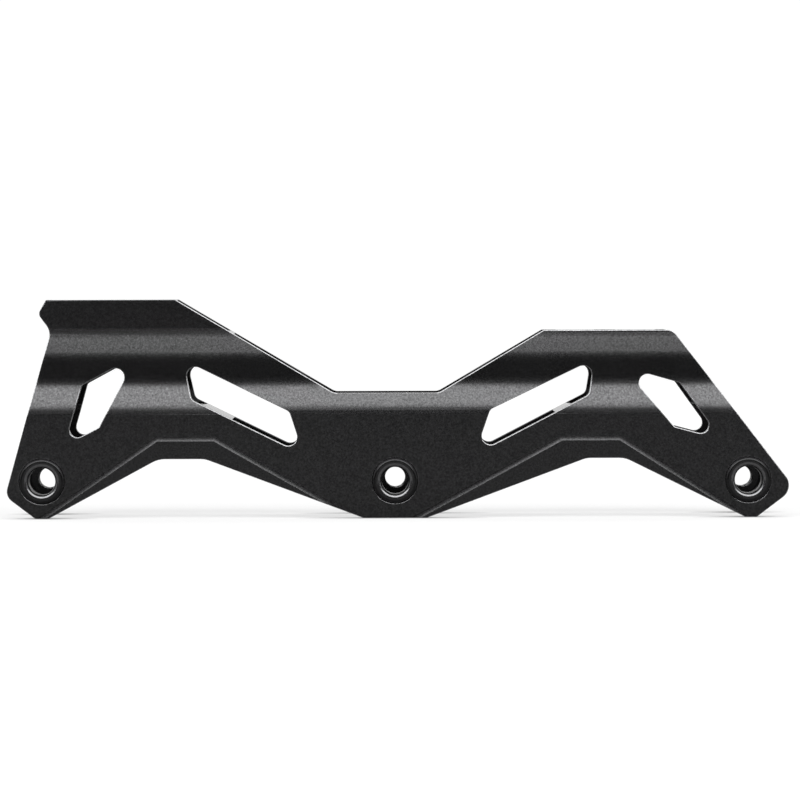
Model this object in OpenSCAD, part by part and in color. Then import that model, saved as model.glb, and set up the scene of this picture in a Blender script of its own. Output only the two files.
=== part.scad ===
// Three-wheel inline skate frame: one extruded and machined aluminium body with a raised heel
// deck, a lower toe deck and a low waist, plus the flanged axle bushes of the near wall and the
// flanged threaded inserts of the far wall.
// Millimetres. +X points to the toe, +Z up, the near wall is on the -Y side.
// The origin lies under the middle of the length, in the plane that the feet stand on.

/* [Wheels and axles] */
// Distance between the rear and the front axle
wheelbase = 235; // [228:1:246]
// Height of the axles above the feet
axle_h = 12.5; // [11.5:0.1:14]
// Largest wheel diameter
wheel_d = 110; // [100:1:112]
// Radial room around a wheel
wheel_gap = 3; // [2:0.5:4]
// Width of a wheel hub with its bearings
hub_w = 24; // [23:0.1:25]
// Room between a hub and a boss on each side
hub_gap = 0.2; // [0.1:0.05:0.4]

/* [Decks] */
// Height of the toe deck's top
toe_h = 62.3; // [60:0.1:64]
// Height of the heel deck over the toe deck
heel_rise = 10.5; // [8:0.1:12]
// Thickness of the decks
deck_t = 3.9; // [3:0.1:5]
// Distance between the two mounting slots
mount_spacing = 165; // [160:1:168]
// Distance of the toe slot ahead of the middle axle
toe_slot_x = 70.7; // [67:0.1:73]
// Width of a mounting slot, for a 6 mm bolt
slot_w = 7.3; // [6.4:0.1:8.5]
// Length of a mounting slot across the deck
slot_len = 17; // [10:0.5:19]
// Back end of the toe deck, ahead of the middle axle
toe_deck_back = 54.4; // [52:0.1:60]
// Front end of the web under the heel deck, behind the middle axle
heel_web_front = 54; // [50:0.5:60]
// Height of the top of the low web between the wheels and of the ribs inside the walls
low_web_top = 37.4; // [36:0.1:39]
// Thickness of the low web
low_web_t = 5.9; // [3:0.1:7]

/* [Cross-section] */
// Width of the lower walls
low_w = 39.4; // [38.6:0.2:41]
// Thickness of the walls
wall = 3.2; // [2.6:0.1:3.6]
// Height of the bend at the foot of the lower slope
lower_foot = 37; // [36.2:0.1:38.5]
// Height of the bend at the top of the lower slope
lower_top = 44.9; // [43.6:0.1:46.5]
// Height of the bend at the foot of the upper slope
upper_foot = 53.5; // [52:0.1:55]
// Height of the flat band along the heel deck
band_h = 9.5; // [7:0.1:10]
// Drop from the bend at the foot of the lower slope to the upper edge of the flat lower walls
lower_drop = 2.4; // [1.5:0.1:4]
// Drop from the lower edge of the flat band to the bend at the top of the upper slope
upper_drop = 1.7; // [1.2:0.1:3]
// Lean of the face between the lower edge and the lower slope, in degrees
lower_edge_lean = 8.2; // [5:0.2:11]
// Lean of the lower slope
lower_lean = 17.5; // [14:0.5:20]
// Lean of the middle band
mid_lean = 3.5; // [0.5:0.5:5]
// Lean of the upper slope
upper_lean = 11.8; // [9:0.2:14]
// Lean of the face between the upper slope and the upper edge
upper_edge_lean = 7.6; // [4:0.2:8.6]
// Bend at the foot of the lower slope
lower_foot_r = 28; // [10:1:30]
// Bend at the top of the lower slope
lower_top_r = 22; // [10:1:26]
// Bend at the foot of the upper slope
upper_foot_r = 27; // [10:1:30]
// Bend at the top of the upper slope
upper_top_r = 40; // [10:1:45]
// Rounding of the heel deck's outer edges
edge_r = 0.3; // [0.2:0.1:1]
// Height of the rib inside each wall
rib_h = 1.8; // [1:0.1:3]
// Reach of the rib into the wheel channel
rib_w = 1.5; // [0.5:0.1:2]

/* [Side outline] */
// Height of the low waist over the middle wheel
waist_h = 41.6; // [40:0.2:45]
// Reach of the waist behind the middle axle
waist_back = 20.3; // [16:0.1:24]
// Reach of the waist ahead of the middle axle
waist_front = 14.7; // [12:0.1:18]
// Slope of the climbs from the waist to the decks, in degrees
climb = 30.6; // [29:0.2:33]
// Heel deck's back edge, ahead of the rear axle
heel_edge = 1.2; // [0:0.2:4]
// Reach of the heel's lip behind its top edge
lip_reach = 2.6; // [1:0.1:4]
// Drop of the lip's tip below the heel deck
lip_drop = 4.7; // [3:0.1:6]
// Undercut below the lip, ahead of the heel's top edge
notch_in = 1.7; // [0:0.1:3]
// Drop of the undercut below the heel deck
notch_drop = 10.5; // [8:0.1:14]
// Toe deck's front corner, behind the front axle
toe_edge = 24.8; // [22:0.2:28]
// Reach of the tail behind the rear axle
tail_reach = 12.2; // [11:0.2:15]
// Height of the tail's corner
tail_h = 7.6; // [5:0.2:9]
// Reach of the nose ahead of the front axle
nose_reach = 15.5; // [13:0.2:18]
// Height of the nose's corner
nose_h = 9.6; // [7:0.2:11]
// Length of the rear foot
rear_foot = 4.3; // [3:0.1:8]
// Length of the middle foot
middle_foot = 20.8; // [16:0.2:24]
// Length of the front foot
front_foot = 3.7; // [3:0.1:8]
// Middle of the front foot, ahead of the front axle
front_foot_at = 0.9; // [-2:0.1:3]
// Height of the arches between the feet
arch_h = 19.8; // [17:0.2:21]
// Start of the rear arch, ahead of the rear axle
rear_arch_at = 38.8; // [36:0.2:41]
// Length of the rear arch's flat
rear_arch_len = 15.5; // [12:0.1:18]
// Start of the front arch, behind the front axle
front_arch_at = 41; // [38:0.2:44]
// Length of the front arch's flat
front_arch_len = 12.8; // [10:0.2:16]
// Height of the raised rim above an arch
rim_top = 5.9; // [3:0.1:7]
// Height of the rim over the wall
rim_proud = 0.36; // [0.2:0.02:0.6]
// Lean of the rim's hollow ledge where it leaves the wall, in degrees
ledge_start = 9.5; // [5:0.5:11]
// Lean of the ledge at the rim's upper line
ledge_end = 16.5; // [13:0.5:30]

/* [Axle seats] */
// Diameter of the flanges of the bushes and inserts
flange_d = 15; // [14:0.1:16]
// Height of a flange above the wall
flange_proud = 1; // [0.6:0.1:1.6]
// Rounding of a flange's outer edge
flange_edge = 1; // [0.4:0.1:1.2]
// Depth of the flange seat in the wall
seat_depth = 0.5; // [0.3:0.1:1]
// Diameter of the barrels of the bushes and inserts
barrel_d = 12; // [11.6:0.1:12.6]
// Rounding of the inner end of a barrel
barrel_edge = 0.3; // [0.1:0.1:0.6]
// Bore of a bush, for the shank of an axle
axle_bore = 9; // [8.2:0.1:9.2]
// Rounding of a bush's mouth, where the axle head seats
mouth_r = 1.4; // [0.8:0.1:1.4]
// Bore of an insert, at the crests of an 8 mm thread
thread_bore = 6.8; // [6.6:0.1:7]
// Chamfer at the mouth of an insert
lead_in = 0.6; // [0.3:0.1:1]
// Room around a barrel in its hole
seat_gap = 0.02; // [0.01:0.01:0.05]
// Width of the open line around a flange
flange_gap = 0.15; // [0.05:0.05:0.3]
// Diameter of an inner boss at the wall
boss_base_d = 20; // [18:0.2:20.6]
// Diameter of an inner boss at its tip
boss_tip_d = 15; // [14:0.2:16]

/* [Hidden] */
$fn = 64;
// Turn of one step along a rounded corner, in degrees
arc_step = 9;
// Turn of one step along a bend of the cross-section
bend_step = 3;
// Flats along the hollow ledge of a rim
ledge_steps = 4;
// Overshoot of a cut past a face
past = 2;

rear_x = -wheelbase / 2;
front_x = wheelbase / 2;
axle_x = [rear_x, 0, front_x];
heel_h = toe_h + heel_rise;
lower_edge = lower_foot - lower_drop;
upper_edge = heel_h - band_h;
upper_top = upper_edge - upper_drop;
low_y = low_w / 2;
lower_foot_y = low_y - lower_drop * tan(lower_edge_lean);
lower_top_y = lower_foot_y - (lower_top - lower_foot) * tan(lower_lean);
upper_foot_y = lower_top_y - (upper_foot - lower_top) * tan(mid_lean);
upper_top_y = upper_foot_y - (upper_top - upper_foot) * tan(upper_lean);
top_y = upper_top_y - upper_drop * tan(upper_edge_lean);
boss_y = hub_w / 2 + hub_gap;
wheel_r = wheel_d / 2 + wheel_gap;
heel_top_x = -waist_back - (heel_h - waist_h) / tan(climb);
toe_top_x = waist_front + (toe_h - waist_h) / tan(climb);
rear_arch = [rear_x + rear_arch_at, rear_x + rear_arch_at + rear_arch_len];
front_arch = [front_x - front_arch_at - front_arch_len, front_x - front_arch_at];
slot_x = [toe_slot_x - mount_spacing, toe_slot_x];
slot_top = [heel_h, toe_h];

// Vector of length one
function unit(v) = v / norm(v);

// Plane point of a corner given as [x, y, radius]
function flat(p) = [p[0], p[1]];

// Vector turned by an angle
function turned(v, a) = [v.x * cos(a) - v.y * sin(a), v.x * sin(a) + v.y * cos(a)];

// Share of a side that a round may take beside corner p
function share(p) = p[2] == 0 ? 0.96 : 0.48;

// Points of the round at corner b between its neighbours a and c
function corner(a, b, c, step) =
    let (
        back = flat(a) - flat(b),
        ahead = flat(c) - flat(b),
        half = acos(unit(back) * unit(ahead)) / 2,
        reach = min(b[2] / tan(half), share(a) * norm(back), share(c) * norm(ahead)),
        r = reach * tan(half),
        centre = flat(b) + unit(unit(back) + unit(ahead)) * r / sin(half),
        start = flat(b) + unit(back) * reach - centre,
        turn = (180 - 2 * half) * sign(cross(-back, ahead)),
        n = max(2, ceil(abs(turn) / step))
    )
    [for (k = [0 : n]) centre + turned(start, turn * k / n)];

// Outline with each corner [x, y, radius] rounded
function rounded(c, step = arc_step) =
    let (n = len(c))
    [for (i = [0 : n - 1])
        each c[i][2] == 0 ? [flat(c[i])] : corner(c[(i + n - 1) % n], c[i], c[(i + 1) % n], step)];

// Corners moved along X
function shifted(c, x) = [for (p = c) [p[0] + x, p[1], p[2]]];

// Side outline from the heel's top edge round the back, the feet and the nose to the waist
side_corners = [
    [rear_x + heel_edge, heel_h, 0.4],
    [rear_x + heel_edge - lip_reach, heel_h - lip_drop, 2.2],
    [rear_x + heel_edge + notch_in, heel_h - notch_drop, 5],
    [rear_x - tail_reach, tail_h, 4],
    [rear_x - rear_foot / 2, 0, 1.2],
    [rear_x + rear_foot / 2, 0, 1.2],
    [rear_arch[0], arch_h, 9],
    [rear_arch[1], arch_h, 8],
    [-middle_foot / 2, 0, 3],
    [middle_foot / 2, 0, 3],
    [front_arch[0], arch_h, 8],
    [front_arch[1], arch_h, 8],
    [front_x + front_foot_at - front_foot / 2, 0, 1.2],
    [front_x + front_foot_at + front_foot / 2, 0, 1.2],
    [front_x + nose_reach, nose_h, 5],
    [front_x - toe_edge, toe_h, 4],
    [toe_top_x, toe_h, 1],
    [waist_front, waist_h, 4],
    [-waist_back, waist_h, 4],
    [heel_top_x, heel_h, 0.6]
];
side_outline = rounded(side_corners);
outline_x = [for (p = side_outline) p.x];
// Middle axle's distance behind the middle of the length
mid_shift = (max(outline_x) + min(outline_x)) / 2;

// Windows of the walls as corners [x, z, radius], the outer ones from an axle, the long ones from an arch
heel_corners = [[13.3, 44.4, 1.5], [7.6, 24.6, 3], [19.1, 30.4, 2], [31.7, 54.3, 3]];
rear_corners = [[8.1, 52.8, 3], [11, 39.5, 2.5], [48.2, 21.3, 3], [43.6, 35.5, 2.5]];
front_corners = [[-10, 52.6, 3], [-44.8, 36, 2.5], [-49.9, 21.2, 3], [-11.8, 40.9, 2.5]];
toe_corners = [[-22.6, 44.7, 1.5], [-41.7, 50.1, 3], [-24.5, 30.1, 1.5], [-9.1, 26.1, 3]];
windows = [
    shifted(heel_corners, rear_x),
    shifted(rear_corners, rear_arch[0]),
    shifted(front_corners, front_arch[1]),
    shifted(toe_corners, front_x)
];

// Outer line of a wall's cross-section, from the foot to the deck, or the same line moved in
function wall_line(inset, top_r) = [
    [low_y - inset, 0, 0],
    [low_y - inset, lower_edge, 0],
    [lower_foot_y - inset, lower_foot, lower_foot_r],
    [lower_top_y - inset, lower_top, lower_top_r],
    [upper_foot_y - inset, upper_foot, upper_foot_r],
    [upper_top_y - inset, upper_top, upper_top_r],
    [top_y - inset, upper_edge, 0],
    [top_y - inset, heel_h, top_r]
];

// Same corners in the other order
function reversed(c) = [for (i = [len(c) - 1 : -1 : 0]) c[i]];

// Rib along the inside of the lower wall
inner_y = low_y - wall;
rib_corners = [
    [inner_y, 0, 0],
    [inner_y, low_web_top - rib_h, 0],
    [inner_y - rib_w, low_web_top - rib_h, 0.4],
    [inner_y - rib_w, low_web_top, 0.4],
    [lower_foot_y - wall, low_web_top, 0]
];

inner_line = wall_line(wall, 0);
inner_corners = concat(rib_corners, [for (i = [3 : len(inner_line) - 1]) inner_line[i]]);
wall_corners = concat(wall_line(0, edge_r), reversed(inner_corners));

// Solid with a side-view outline, reaching past both walls
module side_solid(points) {
    rotate([90, 0, 0])
        linear_extrude(height = low_w + 2 * past, center = true)
            polygon(points);
}

// Half width of the decks, which end inside the walls
deck_half = top_y - wall / 4;

// Web between the walls, from x0 to x1, ending inside each wall
module web(x0, x1, top, thickness, half_w) {
    translate([x0, -half_w, top - thickness])
        cube([x1 - x0, 2 * half_w, thickness]);
}

// The extruded walls with the heel deck between them
module bar() {
    x0 = rear_x - tail_reach - past;
    both_walls()
        translate([x0, 0, 0])
            rotate([90, 0, 90])
                linear_extrude(height = front_x + nose_reach + past - x0)
                    polygon(rounded(wall_corners, bend_step));
    web(x0, heel_top_x, heel_h, deck_t, deck_half);
}

// Webs that the wheels leave between the walls: under the heel, the toe deck and the two low ones
module webs() {
    difference() {
        union() {
            web(rear_x, -heel_web_front, toe_h, deck_t, deck_half);
            web(toe_deck_back, front_x, toe_h, deck_t, deck_half);
            web(rear_x, front_x, low_web_top, low_web_t, low_y - wall / 2);
        }
        each_axle()
            rotate([90, 0, 0])
                cylinder(r = wheel_r, h = 2 * low_w, center = true, $fn = 128);
    }
}

// Upper lines of the rims, from foot to foot, as points [x, z] beside the arch they belong to
line_z = arch_h + rim_top;
rear_line = [
    [rear_x + 1.5, 0.3],
    [rear_arch[0] - 0.3, line_z],
    [rear_arch[1] + 2.9, line_z],
    [-middle_foot / 2 - 13.1, 4.9]
];
front_line = [
    [middle_foot / 2 - 2, 0],
    [front_arch[0] - 8, line_z],
    [front_arch[1] - 1.8, line_z],
    [front_x - 7.4, 3.3]
];

// Cut through a rim as points [y, z] from its upper line: the hollow ledge, the rim's face and
// its root in the wall
ledge_r = rim_proud / (cos(ledge_start) - cos(ledge_end));
ledge_run = ledge_r * (sin(ledge_end) - sin(ledge_start));
rim_profile = concat(
    [for (k = [0 : ledge_steps])
        let (lean = ledge_start + (ledge_end - ledge_start) * k / ledge_steps)
        ledge_r * [cos(lean) - cos(ledge_start), sin(ledge_end) - sin(lean)]],
    [[-rim_proud, -wheelbase], [wall / 2, -wheelbase], [wall / 2, ledge_run]]
);

// Everything below the line from p to q that stands over the near wall
module below_line(p, q) {
    translate([p.x, -low_y, p.y])
        rotate([0, -atan2(q.y - p.y, q.x - p.x), 0])
            rotate([90, 0, 90])
                linear_extrude(height = 2 * wheelbase, center = true)
                    polygon(rim_profile);
}

// Raised rim along an arch, under the three lines that meet over the arch's corners
module arch_rim(line) {
    intersection_for (i = [0 : 2])
        below_line(line[i], line[i + 1]);
}

// Slot across a deck
module mount_slot() {
    reach = (slot_len - slot_w) / 2;
    translate([-slot_w / 2, -reach, -deck_t - past])
        cube([slot_w, 2 * reach, deck_t + 2 * past]);
    for (y = [-reach, reach])
        translate([0, y, -deck_t - past])
            cylinder(d = slot_w, h = deck_t + 2 * past);
}

// Inner boss of the near wall, seen along the axle from inside the wall to the hub
module boss() {
    translate([0, -low_y + wall / 2, 0])
        rotate([-90, 0, 0])
            cylinder(d1 = boss_base_d, d2 = boss_tip_d, h = low_y - wall / 2 - boss_y);
}

// Stepped hole that a bush or an insert is pressed into
module seat() {
    translate([0, -low_y - past, 0])
        rotate([-90, 0, 0])
            cylinder(d = flange_d + 2 * flange_gap, h = past + seat_depth);
    translate([0, -low_y, 0])
        rotate([-90, 0, 0])
            cylinder(d = barrel_d, h = low_y - boss_y + past);
}

// A child repeated on the near and the far wall
module both_walls() {
    children();
    mirror([0, 1, 0])
        children();
}

// A child repeated at each axle
module each_axle() {
    for (x = axle_x)
        translate([x, 0, axle_h])
            children();
}

module frame_body() {
    color([0.07, 0.07, 0.075])
        translate([-mid_shift, 0, 0])
            difference() {
                union() {
                    intersection() {
                        union() {
                            bar();
                            webs();
                            both_walls() {
                                arch_rim(rear_line);
                                arch_rim(front_line);
                            }
                        }
                        side_solid(side_outline);
                    }
                    each_axle()
                        both_walls()
                            boss();
                }
                for (window = windows)
                    side_solid(rounded(window));
                for (i = [0, 1])
                    translate([slot_x[i], 0, slot_top[i]])
                        mount_slot();
                each_axle()
                    both_walls()
                        seat();
            }
}

// Turned ring with a domed flange, a barrel and a bore whose mouth has its own corners, along +Z
// from the flange's face
module flanged_ring(bore, mouth) {
    flange_r = flange_d / 2;
    barrel_r = barrel_d / 2 - seat_gap;
    flange_t = flange_proud + seat_depth;
    length = flange_proud + low_y - boss_y - hub_gap;
    ring = concat(mouth, [
        [flange_r, 0, flange_edge],
        [flange_r, flange_t, 0],
        [barrel_r, flange_t, 0],
        [barrel_r, length, barrel_edge],
        [bore / 2, length, 0]
    ]);
    rotate_extrude($fn = 96)
        polygon(rounded(ring, 15));
}

module axle_bush(x) {
    color([0.09, 0.09, 0.095])
        translate([x - mid_shift, -low_y - flange_proud, axle_h])
            rotate([-90, 0, 0])
                flanged_ring(axle_bore, [[axle_bore / 2, 0, mouth_r]]);
}

module thread_insert(x) {
    color([0.09, 0.09, 0.095])
        translate([x - mid_shift, low_y + flange_proud, axle_h])
            rotate([90, 0, 0])
                flanged_ring(
                    thread_bore,
                    [[thread_bore / 2, lead_in, 0], [thread_bore / 2 + lead_in, 0, 0]]
                );
}

frame_body();
axle_bush(rear_x);  // axle_bush_rear
axle_bush(0);  // axle_bush_middle
axle_bush(front_x);  // axle_bush_front
thread_insert(rear_x);  // thread_insert_rear
thread_insert(0);  // thread_insert_middle
thread_insert(front_x);  // thread_insert_front
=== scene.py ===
"""Looks of a bare three-wheel inline skate frame: black anodised extrusion, turned bushes and inserts."""

import math

import bmesh
import bpy
from mathutils import Matrix, Vector


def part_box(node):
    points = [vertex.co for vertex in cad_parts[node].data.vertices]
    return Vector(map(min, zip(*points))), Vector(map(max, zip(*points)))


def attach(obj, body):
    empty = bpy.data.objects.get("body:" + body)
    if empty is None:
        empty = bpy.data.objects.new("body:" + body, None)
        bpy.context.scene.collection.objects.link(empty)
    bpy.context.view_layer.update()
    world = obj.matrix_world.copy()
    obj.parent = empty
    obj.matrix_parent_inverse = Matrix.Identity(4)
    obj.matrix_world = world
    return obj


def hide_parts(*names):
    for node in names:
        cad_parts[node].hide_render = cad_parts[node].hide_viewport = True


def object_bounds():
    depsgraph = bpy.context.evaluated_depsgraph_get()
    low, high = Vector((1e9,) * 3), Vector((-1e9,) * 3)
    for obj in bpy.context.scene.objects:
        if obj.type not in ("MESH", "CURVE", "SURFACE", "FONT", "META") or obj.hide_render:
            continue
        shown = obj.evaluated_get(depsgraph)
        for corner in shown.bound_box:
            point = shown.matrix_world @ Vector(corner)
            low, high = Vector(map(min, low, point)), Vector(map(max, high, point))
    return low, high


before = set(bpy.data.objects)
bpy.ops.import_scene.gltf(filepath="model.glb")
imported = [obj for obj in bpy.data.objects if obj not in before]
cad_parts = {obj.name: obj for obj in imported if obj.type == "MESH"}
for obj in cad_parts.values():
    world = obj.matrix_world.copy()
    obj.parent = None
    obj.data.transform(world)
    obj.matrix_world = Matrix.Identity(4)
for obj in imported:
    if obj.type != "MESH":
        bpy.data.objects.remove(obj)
cad_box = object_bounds()

MM = 0.001

# The photograph's view: a long lens, almost square to the near wall and level with the heel deck
EYE = Vector((-0.3, -1670, 75.4)) * MM
AIM = Vector((0.8, -18.9, 39.24)) * MM
SENSOR = 36
VIEW_WIDTH = 266.03 * MM
ROLL = math.radians(-0.17)
NEAREST_SEEN = 0.01
FARTHEST_SEEN = 100

# Stage in metres: half its width, the floor's back edge, the backdrop's lower and upper edge; its grey
STAGE_HALF = 4
FLOOR_BACK = 3.9
BACKDROP_LOW = -0.1
BACKDROP_HIGH = 3
STAGE_GREY = 0.26

# Distances from the origin between which the floor's glow grows, and the share that mirroring surfaces see
GLOW_GROWS = (0.3, 1.7)
FAR_MIRRORED = 0.5

# Distance of the lights from the part, and the grey of the dark surroundings
LIGHT_DISTANCE = 1.3
SURROUNDINGS = 0.02

# Broken edges of the pieces
BODY_EDGE = 0.22 * MM
RING_EDGE = 0.12 * MM
EDGE_SEGMENTS = 2
WELD = 0.001 * MM
COPLANAR = math.radians(0.2)

# Angles from which an edge is sharp and from which a bend along a wall is creased
SHARP = math.radians(25)
CREASE = math.radians(6)

# Sideways share of an edge's direction up to which it runs along a wall and from which it runs across
ALONG_WALL = (0.05, 0.06)

# Finishes: share of metal, blue tinge of the greys, and depth of the grain and of the tool marks
METAL = 0.94
BLUE_TINGE = 1.02
MARK_DEPTH = 0.01 * MM

# Blasted faces: fineness of grain and patches, the grain's bump and the patches' reach in roughness
BLAST_SCALE = 1700
PATCH_SCALE = 70
BLAST_BUMP = 0.25
PATCH_REACH = 0.02

# Turned faces: fineness of tool marks and grain, the marks' bump, reach in roughness and share in tone
MARK_SCALE = 9000
RING_SCALE = 2200
MARK_BUMP = 0.2
MARK_REACH = 0.03
MARK_SHARE = 0.5

# Radii over which parts of a bush set in or end: matt bore, worn mouth, rim darkened as painted shade, and
# the rim's edge lightened as wear and painted glint
BORE_START = (4.9 * MM, 4.5 * MM)
WORN_START = (4.7 * MM, 5.2 * MM)
WORN_END = (5.9 * MM, 5.6 * MM)
RIM_SHADE_START = (6.2 * MM, 6.8 * MM)
RIM_EDGE_WEAR_AND_GLINT = (7.1 * MM, 7.3 * MM)

# Factors of the tone on a bush's rim, darkened as painted shade, and on the rim's edge, lightened as wear
# and painted glint
RIM_SHADE_TONE = 0.4
RIM_EDGE_WEAR_AND_GLINT_TONE = 4

# Share of a normal away from the part's middle plane at which an edge's lighter tone starts to show and
# shows fully; edges that face further inward keep a dark tone as painted shade
OUTWARD = (-0.3, 0)

# Threaded insert in millimetres: flange, barrel and thread
FLANGE_R = 7.5
FLANGE_T = 1.5
FLANGE_EDGE = 1
BARREL_R = 5.98
BARREL_EDGE = 0.3
THREAD_R = 4
CREST_R = 3.4
PITCH = 1.25
ROOT_SHARE = 1 / 8
FLANK_ANGLE = math.radians(30)
LEAD_IN = 0.6
TURN_STEPS = 64
PITCH_STEPS = 12
EDGE_STEPS = 6

# Sockets of a colour mix node, whose names aren't unique
MIX_FACTOR = 0
MIX_FIRST = 6
MIX_SECOND = 7
MIX_RESULT = 2


def camera():
    """Camera at the photograph's viewing angle."""
    data = bpy.data.cameras.new("camera")
    data.sensor_width = SENSOR
    data.lens = SENSOR * (AIM - EYE).length / VIEW_WIDTH
    data.clip_start = NEAREST_SEEN
    data.clip_end = FARTHEST_SEEN
    obj = bpy.data.objects.new("camera", data)
    turn = (AIM - EYE).to_track_quat("-Z", "Y").to_matrix().to_4x4()
    obj.matrix_world = Matrix.Translation(EYE) @ turn @ Matrix.Rotation(ROLL, 4, "Z")
    bpy.context.collection.objects.link(obj)
    bpy.context.scene.camera = obj


def node(tree, kind, **settings):
    """New node; a setting that names an input socket sets that input, with _ for a space."""
    made = tree.nodes.new(kind)
    for key, value in settings.items():
        socket = key.replace("_", " ")
        if socket in made.inputs:
            made.inputs[socket].default_value = value
        else:
            setattr(made, key, value)
    return made


def math_node(tree, operation, *inputs):
    """Math node from numbers and sockets; returns its output."""
    made = node(tree, "ShaderNodeMath", operation=operation)
    for socket, value in zip(made.inputs, inputs):
        if isinstance(value, bpy.types.NodeSocket):
            tree.links.new(value, socket)
        else:
            socket.default_value = value
    return made.outputs[0]


def spread(tree, value, low, high):
    """Value from 0 to 1 mapped to the range from low to high; returns its output."""
    made = node(tree, "ShaderNodeMapRange", To_Min=low, To_Max=high)
    tree.links.new(value, made.inputs["Value"])
    return made.outputs["Result"]


def ramp(tree, value, start, end):
    """Smooth step of a value from 0 at start to 1 at end; returns its output."""
    made = node(tree, "ShaderNodeMapRange", interpolation_type="SMOOTHSTEP", From_Min=start, From_Max=end)
    tree.links.new(value, made.inputs["Value"])
    return made.outputs["Result"]


def greys(tree, value, low, high):
    """Value from 0 to 1 mapped to a grey between two levels; returns its output."""
    made = node(tree, "ShaderNodeMix", data_type="RGBA", clamp_factor=False)
    made.inputs[MIX_FIRST].default_value = (low, low, low * BLUE_TINGE, 1)
    made.inputs[MIX_SECOND].default_value = (high, high, high * BLUE_TINGE, 1)
    tree.links.new(value, made.inputs[MIX_FACTOR])
    return made.outputs[MIX_RESULT]


def new_material(name):
    """New material with its node tree and its shader."""
    material = bpy.data.materials.new(name)
    material.use_nodes = True
    return material, material.node_tree, material.node_tree.nodes["Principled BSDF"]


def bumped(tree, shader, height, strength):
    """Gives a shader's surface small heights."""
    bump = node(tree, "ShaderNodeBump", Strength=strength, Distance=MARK_DEPTH)
    tree.links.new(height, bump.inputs["Height"])
    tree.links.new(bump.outputs["Normal"], shader.inputs["Normal"])


def outward(tree):
    """1 where a face looks away from the part's middle plane, 0 where to it; returns its output."""
    place = node(tree, "ShaderNodeNewGeometry")
    position = node(tree, "ShaderNodeSeparateXYZ")
    normal = node(tree, "ShaderNodeSeparateXYZ")
    tree.links.new(place.outputs["Position"], position.inputs[0])
    tree.links.new(place.outputs["True Normal"], normal.inputs[0])
    side = math_node(tree, "SIGN", position.outputs["Y"])
    return ramp(tree, math_node(tree, "MULTIPLY", side, normal.outputs["Y"]), *OUTWARD)


def anodised_black(name, dark, light, rough, shade_inner_edges=False):
    """Blasted and black anodised aluminium: fine grain in its reflectance, patchy gloss.

    With its last argument set, faces that look to the part's middle plane keep the dark tone, as painted
    shade inside the frame.
    """
    material, tree, shader = new_material(name)
    link = tree.links.new
    place = node(tree, "ShaderNodeTexCoord")
    grain = node(tree, "ShaderNodeTexNoise", Scale=BLAST_SCALE, Detail=2, Roughness=0.6)
    patch = node(tree, "ShaderNodeTexNoise", Scale=PATCH_SCALE, Detail=4, Roughness=0.55)
    for texture in (grain, patch):
        link(place.outputs["Object"], texture.inputs["Vector"])
    tone = grain.outputs["Fac"]
    # Faces that look inward lose the grain's lighter tone: painted shade inside the frame
    if shade_inner_edges:
        tone = math_node(tree, "MULTIPLY", tone, outward(tree))
    link(greys(tree, tone, dark, light), shader.inputs["Base Color"])
    patchy = spread(tree, patch.outputs["Fac"], rough - PATCH_REACH, rough + PATCH_REACH)
    link(patchy, shader.inputs["Roughness"])
    bumped(tree, shader, grain.outputs["Fac"], BLAST_BUMP)
    shader.inputs["Metallic"].default_value = METAL
    return material


def axle_distance(tree, position, axle, step):
    """Distance of a position from the nearest of the axles, a step apart in a row; returns its output."""
    x = math_node(tree, "SUBTRACT", position.outputs["X"], axle.x)
    x = math_node(tree, "WRAP", x, step / 2, -step / 2)
    z = math_node(tree, "SUBTRACT", position.outputs["Z"], axle.z)
    squares = math_node(tree, "MULTIPLY_ADD", x, x, math_node(tree, "MULTIPLY", z, z))
    return math_node(tree, "SQRT", squares)


def turned(name, dark, light, rough, axle, step, worn=1, matt=0):
    """Turned and blackened ring: tool marks run round the nearest axle and the mouth is worn; the rim is
    darkened as painted shade, its edge lightened as wear and a painted glint.

    worn is the tone of the worn mouth, and matt what the bore's roughness has beyond the rest.
    """
    material, tree, shader = new_material(name)
    link = tree.links.new
    place = node(tree, "ShaderNodeTexCoord")
    position = node(tree, "ShaderNodeSeparateXYZ")
    link(place.outputs["Object"], position.inputs[0])
    radius = axle_distance(tree, position, axle, step)
    marks = node(tree, "ShaderNodeTexNoise", noise_dimensions="1D", Scale=MARK_SCALE, Detail=3,
                 Roughness=0.6)
    link(math_node(tree, "ADD", radius, position.outputs["Y"]), marks.inputs["W"])
    grain = node(tree, "ShaderNodeTexNoise", Scale=RING_SCALE, Detail=2, Roughness=0.6)
    link(place.outputs["Object"], grain.inputs["Vector"])
    marked = math_node(tree, "MULTIPLY", marks.outputs["Fac"], MARK_SHARE)
    both = math_node(tree, "MULTIPLY_ADD", grain.outputs["Fac"], 1 - MARK_SHARE, marked)

    mouth = math_node(tree, "MULTIPLY", ramp(tree, radius, *WORN_START), ramp(tree, radius, *WORN_END))
    # A bush's rim is darkened as painted shade; its edge is lightened as wear and a painted glint
    rim_shade = spread(tree, ramp(tree, radius, *RIM_SHADE_START), 1, RIM_SHADE_TONE)
    rim_edge_wear_and_glint = spread(tree, ramp(tree, radius, *RIM_EDGE_WEAR_AND_GLINT), 1, RIM_EDGE_WEAR_AND_GLINT_TONE)
    tone = both
    for factor in (spread(tree, mouth, 1, worn), rim_shade, rim_edge_wear_and_glint):
        tone = math_node(tree, "MULTIPLY", tone, factor)
    link(greys(tree, tone, dark, light), shader.inputs["Base Color"])
    streaky = spread(tree, marks.outputs["Fac"], rough - MARK_REACH, rough + MARK_REACH)
    bore = ramp(tree, radius, *BORE_START)
    link(math_node(tree, "MULTIPLY_ADD", bore, matt, streaky), shader.inputs["Roughness"])
    bumped(tree, shader, marks.outputs["Fac"], MARK_BUMP)
    shader.inputs["Metallic"].default_value = METAL
    return material


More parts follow.
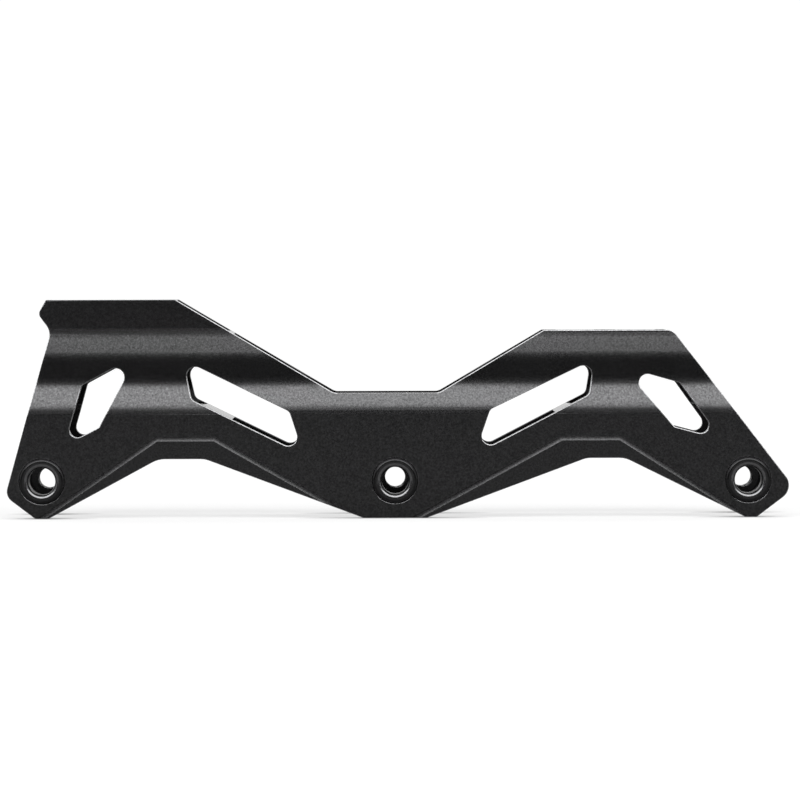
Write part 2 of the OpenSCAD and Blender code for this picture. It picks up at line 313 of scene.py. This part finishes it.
def smooth_by_angle(name, crease):
    """Node group that shades faces smooth up to the sharp edges and the creases that run along a wall."""
    group = bpy.data.node_groups.new(name, "GeometryNodeTree")
    group.interface.new_socket("Geometry", in_out="INPUT", socket_type="NodeSocketGeometry")
    group.interface.new_socket("Geometry", in_out="OUTPUT", socket_type="NodeSocketGeometry")
    link = group.links.new
    start = node(group, "NodeGroupInput")
    end = node(group, "NodeGroupOutput")
    angle = node(group, "GeometryNodeInputMeshEdgeAngle")
    ends = node(group, "GeometryNodeInputMeshEdgeVertices")
    along = node(group, "ShaderNodeVectorMath", operation="SUBTRACT")
    unit = node(group, "ShaderNodeVectorMath", operation="NORMALIZE")
    direction = node(group, "ShaderNodeSeparateXYZ")
    limit = node(group, "ShaderNodeMapRange", From_Min=ALONG_WALL[0], From_Max=ALONG_WALL[1],
                 To_Min=crease, To_Max=SHARP)
    sharp = node(group, "FunctionNodeCompare", operation="GREATER_THAN")
    normal = node(group, "GeometryNodeSetMeshNormal", mode="SHARPNESS")
    link(ends.outputs["Position 1"], along.inputs[0])
    link(ends.outputs["Position 2"], along.inputs[1])
    link(along.outputs[0], unit.inputs[0])
    link(unit.outputs[0], direction.inputs[0])
    link(math_node(group, "ABSOLUTE", direction.outputs["Y"]), limit.inputs["Value"])
    link(angle.outputs["Unsigned Angle"], sharp.inputs[0])
    link(limit.outputs["Result"], sharp.inputs[1])
    link(sharp.outputs["Result"], normal.inputs["Edge Sharpness"])
    link(start.outputs[0], normal.inputs["Mesh"])
    link(normal.outputs["Mesh"], end.inputs[0])
    return group


def shade(obj, group):
    """Smooth shading between the sharp edges."""
    made = obj.modifiers.new("shade", "NODES")
    made.node_group = group
    fine = obj.modifiers.new("weighted_normal", "WEIGHTED_NORMAL")
    fine.keep_sharp = True


def weld(obj):
    """Joins points that lie together."""
    made = obj.modifiers.new("weld", "WELD")
    made.merge_threshold = WELD


def break_edges(obj, width):
    """Welds a CAD node's faces and breaks its sharp edges, which take the second material."""
    weld(obj)
    flat = obj.modifiers.new("flat_faces", "DECIMATE")
    flat.decimate_type = "DISSOLVE"
    flat.angle_limit = COPLANAR
    bevel = obj.modifiers.new("broken_edge", "BEVEL")
    bevel.width = width
    bevel.segments = EDGE_SEGMENTS
    bevel.limit_method = "ANGLE"
    bevel.angle_limit = SHARP
    bevel.use_clamp_overlap = False
    bevel.material = 1
    weld(obj)


def dress(obj, *materials):
    """Gives an object these materials and no others."""
    obj.data.materials.clear()
    for material in materials:
        obj.data.materials.append(material)


def thread_radius(phase):
    """Radius of a 60 degree inner thread at a phase of its pitch from 0 to 1, between crest and root."""
    depth = THREAD_R - CREST_R
    flank = depth * math.tan(FLANK_ANGLE) / PITCH
    crest = 1 - ROOT_SHARE - 2 * flank
    if phase < crest:
        return CREST_R
    if phase < crest + flank:
        return CREST_R + depth * (phase - crest) / flank
    if phase < crest + flank + ROOT_SHARE:
        return THREAD_R
    return CREST_R + depth * (1 - phase) / flank


def threaded_insert(node_name):
    """Flanged insert with a cut thread in place of the CAD node's plain bore."""
    low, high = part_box(node_name)
    length = (high.y - low.y) / MM
    centre = Vector(((low.x + high.x) / 2, high.y, (low.z + high.z) / 2))
    mouth = CREST_R + LEAD_IN
    steps = math.ceil(length / PITCH * PITCH_STEPS)
    outside = [
        (BARREL_R - BARREL_EDGE, length),
        (BARREL_R, length - BARREL_EDGE),
        (BARREL_R, FLANGE_T),
        (FLANGE_R, FLANGE_T),
    ]
    for k in range(EDGE_STEPS + 1):
        turn = math.pi / 2 * k / EDGE_STEPS
        outside.append((FLANGE_R - FLANGE_EDGE * (1 - math.cos(turn)), FLANGE_EDGE * (1 - math.sin(turn))))

    mesh = bmesh.new()
    rings = []
    for k in range(steps + 1):
        depth = length * k / steps
        ring = []
        for i in range(TURN_STEPS):
            radius = max(thread_radius((depth / PITCH + i / TURN_STEPS) % 1), mouth - depth)
            ring.append(round_point(mesh, centre, radius, depth, i))
        rings.append(ring)
    for radius, depth in outside:
        rings.append([round_point(mesh, centre, radius, depth, i) for i in range(TURN_STEPS)])
    for ring, following in zip(rings, rings[1:] + rings[:1]):
        for i in range(TURN_STEPS):
            j = (i + 1) % TURN_STEPS
            mesh.faces.new((ring[i], ring[j], following[j], following[i]))
    bmesh.ops.recalc_face_normals(mesh, faces=mesh.faces[:])
    data = bpy.data.meshes.new(node_name + "_cut")
    mesh.to_mesh(data)
    mesh.free()
    obj = bpy.data.objects.new(node_name + "_cut", data)
    bpy.context.collection.objects.link(obj)
    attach(obj, "root")
    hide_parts(node_name)
    return obj


def round_point(mesh, centre, radius, depth, i):
    """Mesh point at a radius and a depth from the flange's face, at one step of a turn."""
    around = 2 * math.pi * i / TURN_STEPS
    offset = Vector((radius * math.cos(around), -depth, radius * math.sin(around)))
    return mesh.verts.new(centre + offset * MM)


def studio():
    """White stage in dark surroundings, a soft light in front, weaker ones behind and at the ends."""
    scene = bpy.context.scene
    scene.view_settings.view_transform = "Standard"
    world = bpy.data.worlds.new("studio")
    scene.world = world
    world.use_nodes = True
    tree = world.node_tree
    path = node(tree, "ShaderNodeLightPath")
    shown = greys(tree, path.outputs["Is Camera Ray"], SURROUNDINGS, 1)
    tree.links.new(shown, tree.nodes["Background"].inputs["Color"])

    # The floor's glow is darkened by ambient occlusion within 8 mm of the part: a painted contact shadow
    floor = stage_white("white_floor", seen=0.72, mirrored=0, far=0.28, contact_shadow_reach=8 * MM)
    backdrop = stage_white("white_backdrop", seen=1, mirrored=1)
    end = STAGE_HALF
    floor_corners = [(-end, -end, 0), (end, -end, 0), (end, FLOOR_BACK, 0), (-end, FLOOR_BACK, 0)]
    stage_plane("floor", floor_corners, floor)
    low, high = BACKDROP_LOW, BACKDROP_HIGH
    backdrop_corners = [(-end, end, low), (end, end, low), (end, end, high), (-end, end, high)]
    stage_plane("backdrop", backdrop_corners, backdrop)

    softbox("key_light", azimuth=0, lowest=24, highest=68, across=90, radiance=3.6)
    softbox("back_light", azimuth=180, lowest=24, highest=68, across=90, radiance=1.4)
    softbox("toe_light", azimuth=90, lowest=2, highest=46, across=60, radiance=0.7)
    softbox("heel_light", azimuth=-90, lowest=2, highest=46, across=60, radiance=0.7)


def stage_white(name, seen, mirrored, far=0, contact_shadow_reach=0):
    """Stage material whose glow makes up the white that the camera and mirroring surfaces see.

    The glow grows by far at a distance where the lights reach less; near other surfaces, within the last
    argument's distance, ambient occlusion darkens it as a painted contact shadow.
    """
    material, tree, shader = new_material(name)
    shader.inputs["Base Color"].default_value = (STAGE_GREY, STAGE_GREY, STAGE_GREY, 1)
    shader.inputs["Roughness"].default_value = 1
    shader.inputs["Specular IOR Level"].default_value = 0
    shader.inputs["Emission Color"].default_value = (1, 1, 1, 1)
    path = node(tree, "ShaderNodeLightPath")
    place = node(tree, "ShaderNodeNewGeometry")
    distance = node(tree, "ShaderNodeVectorMath", operation="LENGTH")
    tree.links.new(place.outputs["Position"], distance.inputs[0])
    distant = node(tree, "ShaderNodeMapRange", From_Min=GLOW_GROWS[0], From_Max=GLOW_GROWS[1], To_Max=far)
    tree.links.new(distance.outputs["Value"], distant.inputs["Value"])
    glossy, through = path.outputs["Is Glossy Ray"], path.outputs["Is Transmission Ray"]
    reflected = math_node(tree, "MAXIMUM", glossy, through)
    shown = math_node(tree, "ADD", distant.outputs["Result"], seen)
    shown = math_node(tree, "MULTIPLY", shown, path.outputs["Is Camera Ray"])
    # Ambient occlusion darkens the glow the camera sees near other surfaces: a painted contact shadow
    if contact_shadow_reach:
        painted_contact_shadow = node(tree, "ShaderNodeAmbientOcclusion", Distance=contact_shadow_reach)
        shown = math_node(tree, "MULTIPLY", shown, painted_contact_shadow.outputs["AO"])
    mirror = math_node(tree, "MULTIPLY_ADD", distant.outputs["Result"], FAR_MIRRORED, mirrored)
    glow = math_node(tree, "MULTIPLY_ADD", mirror, reflected, shown)
    tree.links.new(glow, shader.inputs["Emission Strength"])
    return material


def stage_plane(name, corners, material):
    """Rectangle of the stage."""
    mesh = bpy.data.meshes.new(name)
    mesh.from_pydata(corners, [], [(0, 1, 2, 3)])
    mesh.materials.append(material)
    obj = bpy.data.objects.new(name, mesh)
    bpy.context.collection.objects.link(obj)


def softbox(name, azimuth, lowest, highest, across, radiance):
    """Rectangular light that faces the part, between two elevations and across an angle, in degrees.

    Azimuth 0 is the camera's side and 90 the toe's.
    """
    centre = (cad_box[0] + cad_box[1]) / 2
    around = math.radians(azimuth)
    above = math.radians((lowest + highest) / 2)
    level = math.cos(above)
    away = Vector((math.sin(around) * level, -math.cos(around) * level, math.sin(above)))
    data = bpy.data.lights.new(name, "AREA")
    data.shape = "RECTANGLE"
    data.size = 2 * LIGHT_DISTANCE * math.tan(math.radians(across / 2))
    data.size_y = 2 * LIGHT_DISTANCE * math.tan(math.radians((highest - lowest) / 2))
    data.energy = radiance * math.pi * data.size * data.size_y
    obj = bpy.data.objects.new(name, data)
    obj.location = centre + away * LIGHT_DISTANCE
    obj.rotation_euler = (-away).to_track_quat("-Z", "Y").to_euler()
    obj.visible_camera = False
    bpy.context.collection.objects.link(obj)


camera()
studio()
low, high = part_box("axle_bush_middle")
axle = (low + high) / 2
axle_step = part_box("axle_bush_front")[0].x - low.x
body_finish = anodised_black("anodised_black", dark=0, light=0.14, rough=0.2)
# Broken edges: lighter as wear to bare metal and as a painted glint; inward-facing ones kept dark as
# painted shade
edge_wear_glint_and_shade_finish = anodised_black("edge_wear_glint_and_shade", dark=0.04, light=0.56, rough=0.24, shade_inner_edges=True)
bush_finish = turned("turned_black", dark=0.01, light=0.12, rough=0.2, axle=axle, step=axle_step,
                     worn=3.2, matt=0.14)
insert_finish = turned("blackened_steel", dark=0.02, light=0.1, rough=0.26, axle=axle, step=axle_step)
body_shade = smooth_by_angle("body_shade", CREASE)
ring_shade = smooth_by_angle("ring_shade", SHARP)

for name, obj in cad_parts.items():
    if name == "frame_body":
        dress(obj, body_finish, edge_wear_glint_and_shade_finish)
        break_edges(obj, BODY_EDGE)
        shade(obj, body_shade)
    elif name.startswith("axle_bush"):
        dress(obj, bush_finish, edge_wear_glint_and_shade_finish)
        break_edges(obj, RING_EDGE)
        shade(obj, ring_shade)
    else:
        dress(obj, insert_finish)
        cut = threaded_insert(name)
        dress(cut, insert_finish)
        shade(cut, ring_shade)
